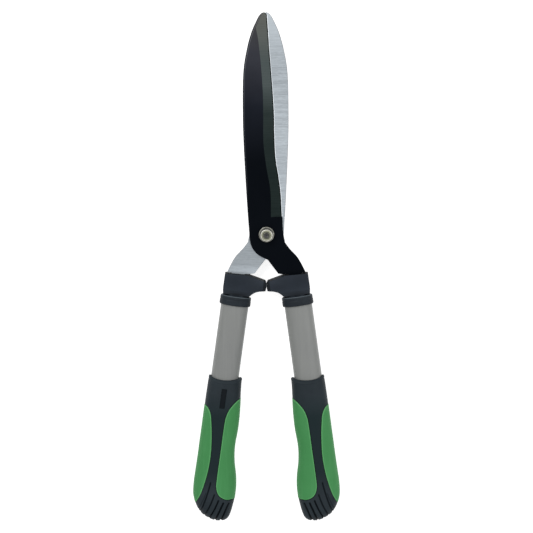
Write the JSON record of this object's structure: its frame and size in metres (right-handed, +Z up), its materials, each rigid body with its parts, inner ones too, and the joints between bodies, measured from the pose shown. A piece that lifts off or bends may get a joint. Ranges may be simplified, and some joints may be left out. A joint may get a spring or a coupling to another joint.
{
  "type": "hedge shears",
  "caption": "Two-handed hedge shears with long bevelled blades on one pivot bolt, oval tube handles and two-tone moulded grips.",
  "frame": {"origin": "middle of the surface that the backs of the two grips rest on, halfway along the closed shears", "axes": "+Y along the shears from the grips to the blade tips, +X to the right, +Z up along the pivot bolt towards its nut"},
  "size_m": [0.1586, 0.5576, 0.0305],
  "materials": {
    "coated_steel": "satin black non-stick coating",
    "ground_steel": "ground across the blade",
    "zinc_steel": "bright zinc plate",
    "nylon": "natural nylon",
    "dark_plastic": "fine moulded texture",
    "grip_plastic": "fine moulded texture",
    "black_rubber": "matte",
    "grey_paint": "satin grey powder coat",
    "green_rubber": "soft matte overmould"
  },
  "bodies": {
    "left_half": {"rear_blade": "ground_steel", "pivot_bolt": "zinc_steel", "front_washer": "zinc_steel", "lock_nut": "zinc_steel", "nut_nylon_ring": "nylon", "left_ferrule": "dark_plastic", "left_bumper": "black_rubber", "left_collar": "dark_plastic", "left_tube": "grey_paint", "left_tang_pin": "zinc_steel", "left_grip_core": "grip_plastic", "left_grip_pad_inner": "green_rubber", "left_grip_pad_outer": "green_rubber"},
    "right_half": {"front_blade": "coated_steel", "right_ferrule": "dark_plastic", "right_bumper": "black_rubber", "right_collar": "dark_plastic", "right_tube": "grey_paint", "right_tang_pin": "zinc_steel", "right_grip_core": "grip_plastic", "right_grip_pad_inner": "green_rubber", "right_grip_pad_outer": "green_rubber"}
  },
  "joints": [
    {"name": "blade_pivot", "type": "hinge", "parent": "left_half", "child": "right_half", "pos_m": [0, 0.03415, 0.01525], "axis": [0, 0, 1], "range_deg": [0, 90]}
  ]
}
